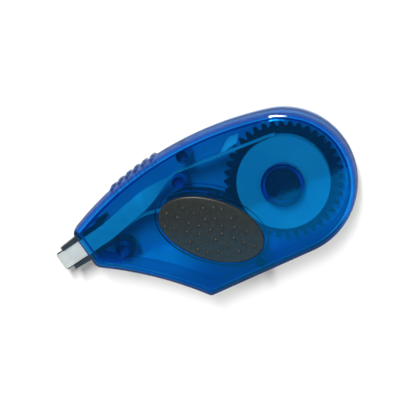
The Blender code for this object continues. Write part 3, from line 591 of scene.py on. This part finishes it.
def build_rear_shell():
    """Rear half of the case with spindles, pins, posts, ribs and the arrow window."""
    body = shell("rear_shell_fine", True)
    pocket(body, True)
    root = WALL / 2
    seam = PARTING - SEAM_GAP / 2
    rib_top = seam - LIP_HEIGHT
    combine(
        body,
        [
            pin(0, 0, SUPPLY_PIN, root, HUB_TOP - HUB_CAP - 2 * RUN_GAP),
            pin(*TAKEUP, TAKEUP_PIN, REAR_SEAT + POCKET_FLOOR / 2, CORE_TOP),
            turned(
                ROLLER_X,
                ROLLER_Y,
                [
                    (ROLLER_RADIUS - ROLLER_STEP, root),
                    (ROLLER_RADIUS - ROLLER_STEP, CORE_LOW - RUN_GAP),
                    (ROLLER_PIN, CORE_LOW - RUN_GAP),
                    (ROLLER_PIN, CORE_TOP + RUN_GAP),
                ],
            ),
            pin(*TOP_POST, POST_RADIUS, root, seam),
            pin(*LOW_POST, LOW_POST_RADIUS, root, seam),
            pin(*EYE, EYE_PIN, root, TAPE_Z + EYE_HEIGHT / 2),
        ],
        "UNION",
        1,
    )
    out = (Vector(TOP_POST) - TOP_CENTRE).normalized()
    away = (EYE - HOLLOW).normalized()
    beside = BLADE_WIDTH / 2 + CHEEK_THICK + SEAT_GAP + RIB_THICK
    rail = [head_point(a, beside, 0).xy for a in (FOOT_END + BLADE_TAPER, NOSE_REACH - SLOT_DEPTH / 2)]
    combine(
        body,
        [
            bar(TOP_POST, TOP_CENTRE + out * (TOP_RADIUS - WALL / 2), RIB_THICK, root, rib_top),
            bar(
                EYE,
                HOLLOW + away * (HOLLOW_RADIUS + WALL / 2),
                RIB_THICK,
                root,
                TAPE_Z - EYE_HEIGHT / 2 - RUN_GAP,
            ),
            bar(*rail, RIB_THICK, root, TAPE_Z),
        ],
        "UNION",
        1,
    )
    combine(body, ridges(seam, EDGE_ROUND), "UNION")
    combine(body, [prism(arrow_points(), -CUT_PAST, WALL + CUT_PAST), head_slot()], "DIFFERENCE")
    soften(body, SMOOTH_DEG)
    return body


def build_front_shell():
    """Front half of the case with the hub bearing ring and the posts that meet the rear ones.

    The inner third of the bearing ring takes the third material.
    """
    body = shell("front_shell_fine", False)
    pocket(body, False)
    root = THICKNESS - WALL / 2
    seam = PARTING + SEAM_GAP / 2
    above = CORE_TOP + 2 * RUN_GAP
    ring = HUB_RADIUS + RUN_GAP
    floor = THICKNESS - GRIP_SEAT - POCKET_FLOOR / 2
    line, outer = ring + RING_WALL / 3, ring + RING_WALL
    hub_ring = [(ring, root), (ring, above), (line, above), (outer, above), (outer, root)]
    near, far = TAKEUP_PIN + RUN_GAP, TAKEUP_PIN + RING_WALL
    combine(
        body,
        [
            turned(0, 0, hub_ring, 72, True),
            turned(*TAKEUP, [(near, floor), (near, above), (far, above), (far, floor)], 48, True),
            pin(ROLLER_X, ROLLER_Y, POST_RADIUS, root, above),
            pin(*TOP_POST, POST_RADIUS, root, seam),
            pin(*LOW_POST, LOW_POST_RADIUS, root, seam),
            pin(*EYE, EYE_PIN, root, TAPE_Z + EYE_HEIGHT / 2 + 2 * RUN_GAP),
        ],
        "UNION",
        1,
    )
    combine(body, ridges(seam, THICKNESS - EDGE_ROUND), "UNION")
    combine(body, [head_slot()], "DIFFERENCE")
    body.data.materials.append(None)
    for face in body.data.polygons:
        if face.material_index == 1 and face.center.xy.length < line:
            face.material_index = 2
    soften(body, SMOOTH_DEG)
    return body


def build_grip(name, rear):
    """An oval rubber pad with low round bumps, seated in a pocket."""
    flip = -1.0 if rear else 1.0
    face = BUMP_HEIGHT if rear else THICKNESS + GRIP_PROUD
    back = REAR_SEAT - SEAT_GAP if rear else THICKNESS - GRIP_SEAT + SEAT_GAP
    crown = 0.0 if rear else GRIP_CROWN
    edge = REAR_PAD_EDGE if rear else PAD_EDGE
    rings = [lift(oval(), back), lift(oval(), face - flip * edge * PAD_HOLD)]
    for s, c in quarter(6):
        rings.append(lift(oval(-edge * (1 - c)), face - flip * edge * (1 - s)))
    steps = 12
    for i in range(1, steps):
        scale = 1.0 - i / steps
        rings.append(lift(oval(-edge, scale), face + crown * (1 - scale * scale)))
    parts = [loft_parts(rings)]
    dome = [(BUMP_ROOT_WIDE, -BUMP_ROOT), (BUMP_FOOT_WIDE, 0.0)]
    dome += [(c, s * BUMP_HEIGHT) for s, c in quarter(5)[1:-1]]
    turn = Matrix.Rotation(math.radians(GRIP_TURN_DEG), 2)
    for u, v in BUMPS:
        spot = turn @ Vector((GRIP_LONG * u, GRIP_SHORT * v))
        x, y = GRIP_X + spot.x, GRIP_Y + spot.y
        level = face + crown * (1 - u * u - v * v) - flip * BUMP_SINK
        rings = [lift(circle(x, y, BUMP_RADIUS * wide, 20), level + flip * rise) for wide, rise in dome]
        parts.append(loft_parts(rings))
    return make(name, *joined(parts), PAD_SMOOTH_DEG)


# Tape


def tangent(centre_a, radius_a, centre_b, radius_b):
    """Upward normal of the line that lies on top of two circles."""
    apart = centre_b - centre_a
    lean = math.acos((radius_a - radius_b) / apart.length)
    base = math.atan2(apart.y, apart.x)
    options = [Vector((math.cos(base + s * lean), math.sin(base + s * lean))) for s in (1, -1)]
    return max(options, key=lambda n: n.y)


def ease(share):
    """Smooth step from 0 to 1."""
    share = min(1.0, max(0.0, share))
    return share * share * (3 - 2 * share)


UP = Vector((0, 0, 1))
OFFSET = TAPE_GAP + TAPE_THICK / 2
FRONT_Z = TAPE_Z + BLADE_HALF + OFFSET
BEHIND_Z = TAPE_Z - BLADE_HALF - OFFSET
NOSE_END = NOSE_REACH - BLADE_TAPER


def tape_out(steps):
    """Stations of the tape, as centre and face normal, from the roll over the roller to the head."""
    roll = Vector((0, 0))
    guide = Vector((ROLLER_X, ROLLER_Y))
    stations = []
    first = tangent(roll, ROLL_RADIUS + OFFSET, guide, ROLLER_RADIUS + OFFSET)
    start = roll + first * (ROLL_RADIUS + OFFSET)
    for i in range(9):
        normal = Matrix.Rotation(-ROLL_WRAP * (8 - i) / 8, 2) @ first
        spot = roll + normal * (ROLL_RADIUS + OFFSET)
        stations.append((spot.to_3d() + UP * TAPE_Z, normal.to_3d()))
    over = guide + first * (ROLLER_RADIUS + OFFSET)
    for i in range(1, 9):
        stations.append((start.lerp(over, i / 8).to_3d() + UP * TAPE_Z, first.to_3d()))
    root = head_point(BLADE_START, 0, FRONT_Z)
    last = tangent(root.xy, 0.0, guide, ROLLER_RADIUS + OFFSET)
    for i in range(1, 9):
        normal = first.slerp(last, i / 8)
        spot = guide + normal * (ROLLER_RADIUS + OFFSET)
        stations.append((spot.to_3d() + UP * TAPE_Z, normal.to_3d()))
    leave = stations[-1][0]
    twist_start, twist_span = OUT_TWIST
    for i in range(1, steps + 1):
        share = i / steps
        turn = ease((share - twist_start) / twist_span) * math.pi / 2
        spot = leave.lerp(root, share)
        spot.z = TAPE_Z + (FRONT_Z - TAPE_Z) * ease(share / CLIMB_SHARE)
        stations.append((spot, last.to_3d() * math.cos(turn) + UP * math.sin(turn)))
    return stations


def tape_over_head():
    """Stations along the blade's front, round its tip and back to where the blade starts."""
    middle = 0.5 * (BLADE_START + NOSE_END)
    stations = [(head_point(along, 0, FRONT_Z), UP) for along in (middle, NOSE_END)]
    slope = math.atan2(BLADE_HALF - BLADE_TIP_HALF, HEAD_TIP - TIP_ROUND - NOSE_END)
    axis = NOSE.to_3d()
    lean = axis * math.sin(slope) + UP * math.cos(slope)
    tip = head_point(HEAD_TIP - TIP_ROUND, 0, TAPE_Z)
    bend = BLADE_TIP_HALF + OFFSET
    for i in range(1, 9):
        stations.append((head_point(NOSE_END, 0, FRONT_Z).lerp(tip + lean * bend, i / 8), lean))
    for i in range(1, 16):
        turn = slope + (math.pi / 2 - slope) * i / 8
        normal = axis * math.sin(turn) + UP * math.cos(turn)
        stations.append((tip + normal * bend, normal))
    back = axis * math.sin(slope) - UP * math.cos(slope)
    for i in range(8):
        stations.append(((tip + back * bend).lerp(head_point(NOSE_END, 0, BEHIND_Z), i / 8), back))
    stations += [(head_point(along, 0, BEHIND_Z), -UP) for along in (NOSE_END, middle, BLADE_START)]
    return stations


def tape_back(steps):
    """Stations from the head's back, twisting on edge again, to the take-up reel."""
    root = head_point(BLADE_START, 0, BEHIND_Z)
    swing = head_point(BLADE_START - RETURN_SWING, 0, BEHIND_Z)
    above = tangent(swing.xy, 0.0, TAKEUP, WINDING_RADIUS + OFFSET)
    end = (TAKEUP + above * (WINDING_RADIUS + OFFSET)).to_3d() + UP * TAPE_Z
    twist_start, twist_span = BACK_TWIST
    stations = []
    for i in range(1, steps + 1):
        share = i / steps
        turn = ease((share - twist_start) / twist_span) * math.pi / 2
        spot = root.lerp(swing, share).lerp(swing.lerp(end, share), share)
        spot.z = BEHIND_Z + (TAPE_Z - BEHIND_Z) * ease(share / CLIMB_SHARE)
        stations.append((spot, -UP * math.cos(turn) - above.to_3d() * math.sin(turn)))
    return stations


def build_tape():
    """The tape between the reels as one thin ribbon that twists to lie flat on the head."""
    stations = tape_out(72) + tape_over_head() + tape_back(72)
    sides = [0.5 - j / 6 for j in range(7)]
    section = [(side, 0.5) for side in sides] + [(side, -0.5) for side in reversed(sides)]
    rings = []
    for i, (spot, normal) in enumerate(stations):
        before = stations[max(i - 1, 0)][0]
        after = stations[min(i + 1, len(stations) - 1)][0]
        along = (after - before).normalized()
        across = along.cross(normal).normalized()
        face = across.cross(along).normalized()
        wide, thick = across * TAPE_WIDTH, face * TAPE_THICK
        rings.append([spot + wide * side + thick * rise for side, rise in section])
    return make("tape_strip_fine", *loft_parts(rings))


def build_winding(name, axis, inner, outer, steps):
    """Wound tape: its sides are stepped in fine layers, and the outer layer winds inwards over a turn."""
    low = TAPE_Z - TAPE_WIDTH / 2
    high = TAPE_Z + TAPE_WIDTH / 2
    layers = max(6, int((outer - inner) / LAYER_PITCH))
    rims = []
    for layer in range(layers + 1):
        reach = inner + (outer - LAYER_STEP - inner) * layer / layers
        ring = []
        for i in range(steps + 1):
            a = math.pi / 2 - 2 * math.pi * i / steps
            r = reach + (LAYER_STEP * (1 - i / steps) if layer == layers else 0.0)
            ring.append((axis[0] + r * math.cos(a), axis[1] + r * math.sin(a)))
        rims.append(ring)
    dips = [0.0 if layer % 2 == 0 or layer == layers else LAYER_DIP for layer in range(layers + 1)]
    rings = [lift(ring, high - dip) for ring, dip in zip(rims, dips)]
    rings += [lift(ring, low + dip) for ring, dip in zip(reversed(rims), reversed(dips))]
    return make(name, *loft_parts(rings, True), WINDING_SMOOTH_DEG)


# Materials


def shader_of(name):
    """A new node material, its node tree and its Principled shader."""
    mat = bpy.data.materials.new(name)
    mat.use_nodes = True
    tree = mat.node_tree
    return mat, tree, tree.nodes["Principled BSDF"]


def fed(tree, kind, operation, values):
    """A math node of a kind, its inputs linked to outputs or set to plain values."""
    node = tree.nodes.new(kind)
    node.operation = operation
    for socket, value in zip(node.inputs, values):
        if isinstance(value, bpy.types.NodeSocket):
            tree.links.new(value, socket)
        else:
            socket.default_value = value
    return node


def maths(tree, operation, *values):
    """The result of a math node."""
    return fed(tree, "ShaderNodeMath", operation, values).outputs["Value"]


def vector_maths(tree, operation, *values):
    """The result of a vector math node, a number for a dot product or a length."""
    node = fed(tree, "ShaderNodeVectorMath", operation, values)
    return node.outputs["Value" if operation in ("DOT_PRODUCT", "LENGTH") else "Vector"]


def parts_of(tree, vector):
    """The outputs X, Y and Z of a vector."""
    node = tree.nodes.new("ShaderNodeSeparateXYZ")
    tree.links.new(vector, node.inputs["Vector"])
    return node.outputs


def noise(tree, scale, detail=3.0):
    """A noise texture in object space; scale is in cycles per metre."""
    coords = tree.nodes.new("ShaderNodeTexCoord")
    node = tree.nodes.new("ShaderNodeTexNoise")
    node.inputs["Scale"].default_value = scale
    node.inputs["Detail"].default_value = detail
    tree.links.new(coords.outputs["Object"], node.inputs["Vector"])
    return node.outputs["Fac"]


def winding_lines(tree, scale):
    """A noise that changes only with the distance from the piece's axis."""
    coords = tree.nodes.new("ShaderNodeTexCoord")
    flat = vector_maths(tree, "MULTIPLY", coords.outputs["Object"], (1.0, 1.0, 0.0))
    node = tree.nodes.new("ShaderNodeTexNoise")
    node.noise_dimensions = "1D"
    node.inputs["Scale"].default_value = scale
    node.inputs["Detail"].default_value = 2.0
    tree.links.new(vector_maths(tree, "LENGTH", flat), node.inputs["W"])
    return node.outputs["Fac"]


def toned(tree, source, tones, ends=TONE_ENDS):
    """Two tones mixed by a value."""
    node = tree.nodes.new("ShaderNodeValToRGB")
    for element, position, tone in zip(node.color_ramp.elements, ends, tones):
        element.position = position
        element.color = (*tone, 1.0)
    tree.links.new(source, node.inputs["Fac"])
    return node.outputs["Color"]


def span(tree, source, low, high):
    """A value from 0..1 spread over low..high."""
    node = tree.nodes.new("ShaderNodeMapRange")
    node.inputs["To Min"].default_value = low
    node.inputs["To Max"].default_value = high
    tree.links.new(source, node.inputs["Value"])
    return node.outputs["Result"]


def smooth(tree, source, start, end):
    """A value that runs smoothly from 0 at start to 1 at end."""
    node = tree.nodes.new("ShaderNodeMapRange")
    node.interpolation_type = "SMOOTHSTEP"
    node.inputs["From Min"].default_value = start
    node.inputs["From Max"].default_value = end
    tree.links.new(source, node.inputs["Value"])
    return node.outputs["Result"]


def mixed(tree, share, low, high):
    """Two colours mixed by a share."""
    node = tree.nodes.new("ShaderNodeMix")
    node.data_type = "RGBA"
    tree.links.new(share, node.inputs["Factor"])
    tree.links.new(low, node.inputs[6])
    tree.links.new(high, node.inputs[7])
    return node.outputs[2]


def bump(tree, shader, source, strength, distance):
    """A bump from a height value."""
    node = tree.nodes.new("ShaderNodeBump")
    node.inputs["Strength"].default_value = strength
    node.inputs["Distance"].default_value = distance
    tree.links.new(source, node.inputs["Height"])
    tree.links.new(node.outputs["Normal"], shader.inputs["Normal"])


def case_tint(tree, coords, flat, flow, face_tones):
    """Tint of the clear case: its faces with painted shade deepening them at the keel, its walls inside and
    out, edges, and a band of painted shade at the seam.
    """
    place = parts_of(tree, coords["Object"])
    away = vector_maths(tree, "SUBTRACT", coords["Object"], SHIFT + CASE_MIDDLE)
    facing = vector_maths(tree, "DOT_PRODUCT", away, coords["Normal"])
    outward = maths(tree, "GREATER_THAN", facing, 0.0)
    # Painted shade: the faces take a deeper tint towards the keel
    keel = smooth(tree, place["Y"], *(SHIFT.y + reach for reach in KEEL_SHADE_FADE))
    # Painted shade: surfaces near the parting line take a deeper tint
    seam_shade_band = maths(tree, "COMPARE", place["Z"], PARTING, LIP_HEIGHT)
    face = mixed(tree, keel, toned(tree, flow, face_tones), toned(tree, flow, KEEL_PAINTED_SHADE))
    wall = mixed(tree, outward, toned(tree, flow, INSIDE_WALL), toned(tree, flow, OUTSIDE_WALL))
    wall = mixed(tree, smooth(tree, flat, *ROUNDED_FADE), wall, toned(tree, flow, ROUNDED_EDGE))
    whole = mixed(tree, smooth(tree, flat, *LEVEL_FADE), wall, face)
    return mixed(tree, seam_shade_band, whole, toned(tree, flow, SEAM_PAINTED_SHADE))


def let_light_through(tree, shader, colour):
    """Let shadow and diffuse rays straight through in a colour, as light passes thin clear walls."""
    path = tree.nodes.new("ShaderNodeLightPath").outputs
    clear = tree.nodes.new("ShaderNodeBsdfTransparent")
    tree.links.new(colour, clear.inputs["Color"])
    mix = tree.nodes.new("ShaderNodeMixShader")
    tree.links.new(maths(tree, "MAXIMUM", path["Is Shadow Ray"], path["Is Diffuse Ray"]), mix.inputs["Fac"])
    tree.links.new(shader.outputs["BSDF"], mix.inputs[1])
    tree.links.new(clear.outputs["BSDF"], mix.inputs[2])
    tree.links.new(mix.outputs["Shader"], tree.nodes["Material Output"].inputs["Surface"])


def clear_blue(name, tones, shade, lean):
    """Tinted clear plastic, polished.

    shade is the light that its faces let through, and lean tips the gloss of its upright walls to the front.
    """
    mat, tree, shader = shader_of(name)
    coords = tree.nodes.new("ShaderNodeTexCoord").outputs
    flow = noise(tree, FLOW_SCALE, 2.0)
    flat = maths(tree, "ABSOLUTE", parts_of(tree, coords["Normal"])["Z"])
    tree.links.new(case_tint(tree, coords, flat, flow, tones), shader.inputs["Base Color"])
    shader.inputs["Roughness"].default_value = 0.035
    shader.inputs["IOR"].default_value = 1.5
    shader.inputs["Transmission Weight"].default_value = 0.975
    ripple = maths(tree, "MULTIPLY", noise(tree, RIPPLE_SCALE, 2.0), RIPPLE_HEIGHT)
    height = parts_of(tree, coords["Object"])["Z"]
    bump(tree, shader, maths(tree, "MULTIPLY_ADD", height, -lean, ripple), 1.0, 1.0)
    wall_shade = toned(tree, flow, WALL_SHADE)
    face_shade = toned(tree, flow, (shade, shade))
    let_light_through(tree, shader, mixed(tree, flat, wall_shade, face_shade))
    return mat


def rubber(name, tones):
    """Dark rubber with a fine grain and slight colour variation."""
    mat, tree, shader = shader_of(name)
    tree.links.new(toned(tree, noise(tree, 900.0, 4.0), tones), shader.inputs["Base Color"])
    tree.links.new(span(tree, noise(tree, 400.0), 0.22, 0.30), shader.inputs["Roughness"])
    shader.inputs["Specular IOR Level"].default_value = 0.24
    bump(tree, shader, noise(tree, 3600.0), 0.1, 0.00008)
    return mat


def moulded(name, tones, roughness, grain, gloss=0.5):
    """Moulded plastic with a fine eroded grain."""
    mat, tree, shader = shader_of(name)
    tree.links.new(toned(tree, noise(tree, 350.0), tones), shader.inputs["Base Color"])
    spread = span(tree, noise(tree, 700.0), roughness - 0.07, roughness + 0.07)
    tree.links.new(spread, shader.inputs["Roughness"])
    shader.inputs["Specular IOR Level"].default_value = gloss
    bump(tree, shader, noise(tree, 3200.0), grain, 0.0001)
    return mat


def tape_material(name, tones, wound=False):
    """Coated tape: pale, matt, with faint streaks, and layer lines where it is wound."""
    mat, tree, shader = shader_of(name)
    value = winding_lines(tree, 2400.0) if wound else noise(tree, 500.0, 4.0)
    tree.links.new(toned(tree, value, tones), shader.inputs["Base Color"])
    shader.inputs["Roughness"].default_value = 0.5
    bump(tree, shader, value, 0.12, 0.00008)
    return mat


FRONT_BLUE = clear_blue(
    "clear_blue_front", ((0.005, 0.30, 0.86), (0.008, 0.36, 0.92)), shade=(0.78, 0.86, 0.80), lean=0.43
)
REAR_BLUE = clear_blue(
    "clear_blue_rear", ((0.010, 0.38, 0.70), (0.015, 0.44, 0.76)), shade=(0.93, 0.91, 0.86), lean=0.12
)
THICK = moulded("thick_blue_plastic", ((0.002, 0.032, 0.22), (0.003, 0.042, 0.27)), 0.2, 0.04)
RING = moulded("ring_blue_plastic", ((0.02, 0.070, 0.44), (0.03, 0.085, 0.50)), 0.2, 0.04)
RUBBER = rubber("dark_rubber", ((0.018, 0.020, 0.017), (0.026, 0.028, 0.025)))
CLUTCH = rubber("clutch_rubber", ((0.02, 0.02, 0.022), (0.035, 0.035, 0.037)))
BLACK = moulded("black_plastic", ((0.004, 0.0043, 0.0046), (0.007, 0.0075, 0.008)), 0.27, 0.1, 0.2)
HEAD = moulded("black_head_plastic", ((0.018, 0.018, 0.016), (0.027, 0.027, 0.024)), 0.24, 0.1, 0.35)
PALE = moulded("natural_plastic", ((0.36, 0.38, 0.37), (0.42, 0.44, 0.43)), 0.42, 0.08)
SLEEVE = moulded("blue_sleeve_plastic", ((0.008, 0.07, 0.30), (0.012, 0.085, 0.35)), 0.32, 0.08)
TAPE = tape_material("white_tape", ((0.44, 0.478, 0.47), (0.53, 0.56, 0.55)))
ROLL = tape_material("wound_tape", ((0.37, 0.38, 0.37), (0.44, 0.46, 0.445)), True)
FILM = tape_material("carrier_film", ((0.50, 0.55, 0.56), (0.66, 0.70, 0.70)), True)


# The pieces, each in its material and on its body


def settle(obj, mats, node, body, pivot=None, placed=False):
    """Give a piece its materials, put it in the frame's place and let it stand for its CAD node."""
    while len(obj.data.materials) < len(mats):
        obj.data.materials.append(None)
    for index, mat in enumerate(mats):
        obj.data.materials[index] = mat
    if not placed:
        obj.data.transform(Matrix.Translation(SHIFT))
    if pivot is not None:
        obj.data.transform(Matrix.Translation(-pivot))
        obj.location = pivot
    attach(obj, body)
    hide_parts(node)


settle(build_rear_shell(), [REAR_BLUE, THICK], "rear_shell", "case")
settle(build_front_shell(), [FRONT_BLUE, THICK, RING], "front_shell", "case")
settle(build_grip("front_grip_fine", False), [RUBBER], "front_grip", "case")
settle(build_grip("rear_grip_fine", True), [RUBBER], "rear_grip", "case")
settle(build_tape(), [TAPE], "tape_strip", "case")

roll = build_winding("tape_roll_fine", (0, 0), CORE_RADIUS + WINDING_SINK, ROLL_RADIUS, 144)
settle(roll, [ROLL], "tape_roll", "supply_reel", JOINTS["clutch_slip"])
winding = build_winding("takeup_winding_fine", TAKEUP, TAKEUP_CORE + SEAT_GAP, WINDING_RADIUS, 96)
settle(winding, [FILM], "takeup_winding", "takeup", JOINTS["takeup_spin"])

for node, bevel, mat, body, slot in [
    ("dispensing_head", HEAD_BEVEL, HEAD, "case", "black_head"),
    ("supply_gear", FINE_BEVEL, BLACK, "gear", "black_gear"),
    ("takeup_reel", FINE_BEVEL, BLACK, "takeup", "black_gear"),
    ("supply_core", FINE_BEVEL, PALE, "supply_reel", "natural_core"),
    ("clutch_ring", FINE_BEVEL, CLUTCH, "supply_reel", "clutch_rubber"),
    ("guide_roller", FINE_BEVEL, SLEEVE, "roller", "roller_plastic"),
]:
    settle(refined(node, bevel), [mat], node, body, placed=True)


# Floor, light and camera


def build_floor():
    """A plain pale floor that keeps the shadow."""
    signs = [(-1, -1), (1, -1), (1, 1), (-1, 1)]
    corners = [(x * FLOOR_HALF, y * FLOOR_HALF, -FLOOR_DROP) for x, y in signs]
    floor = make("floor", corners, [(0, 1, 2, 3)])
    mat, _, shader = shader_of("floor_white")
    shader.inputs["Base Color"].default_value = (FLOOR_WHITE, FLOOR_WHITE, FLOOR_WHITE, 1.0)
    shader.inputs["Roughness"].default_value = 0.9
    shader.inputs["Specular IOR Level"].default_value = 0.0
    floor.data.materials.append(mat)


def build_world():
    """A soft pale surround that is dark overhead, where the flat front mirrors it."""
    world = bpy.data.worlds.new("studio")
    bpy.context.scene.world = world
    world.use_nodes = True
    tree = world.node_tree
    coords = tree.nodes.new("ShaderNodeTexCoord")
    height = parts_of(tree, coords.outputs["Generated"])["Z"]
    fade = toned(tree, height, SURROUND_TONES, SURROUND_ENDS)
    tree.links.new(fade, tree.nodes["Background"].inputs["Color"])


def lamp(name, place, size, radiance, colour=(1.0, 1.0, 1.0)):
    """A rectangular area light of even brightness that shines down its own axis."""
    data = bpy.data.lights.new(name, "AREA")
    data.shape = "RECTANGLE"
    data.size, data.size_y = size
    data.energy = math.pi * size[0] * size[1] * radiance
    data.color = colour
    obj = bpy.data.objects.new(name, data)
    bpy.context.scene.collection.objects.link(obj)
    obj.matrix_world = place
    return obj


def build_lights():
    """A lamp above and behind the object, and a blue card whose edge shows in the front face."""
    target = SHIFT + KEY_TARGET
    spot = target + KEY_WAY * KEY_DISTANCE
    aim = (target - spot).to_track_quat("-Z", "Y").to_matrix().to_4x4()
    lamp("key", Matrix.Translation(spot) @ aim, KEY_SIZE, KEY_RADIANCE)
    start, end = (SHIFT + point for point in CARD_EDGE)
    along = (end - start).normalized()
    out = Vector((along.y, -along.x, 0.0))
    middle = (start + end) / 2 + out * (CARD_SIZE[1] / 2)
    turn = Matrix.Rotation(math.atan2(along.y, along.x), 4, "Z")
    card = lamp("card", Matrix.Translation(middle) @ turn, CARD_SIZE, CARD_RADIANCE, CARD_BLUE)
    card.visible_diffuse = False


def build_camera():
    """The camera at the photograph's angle."""
    data = bpy.data.cameras.new("camera")
    data.sensor_width = SENSOR_WIDTH
    data.lens = LENS
    data.clip_start = CLIP_START
    obj = bpy.data.objects.new("camera", data)
    bpy.context.scene.collection.objects.link(obj)
    back = VIEW_RIGHT.cross(VIEW_UP)
    turn = Matrix((VIEW_RIGHT, VIEW_UP, back)).transposed().to_4x4()
    obj.matrix_world = Matrix.Translation(SHIFT + VIEW_TARGET + back * VIEW_DISTANCE) @ turn
    bpy.context.scene.camera = obj


build_floor()
build_world()
build_lights()
build_camera()
bpy.context.scene.view_settings.view_transform = "Standard"
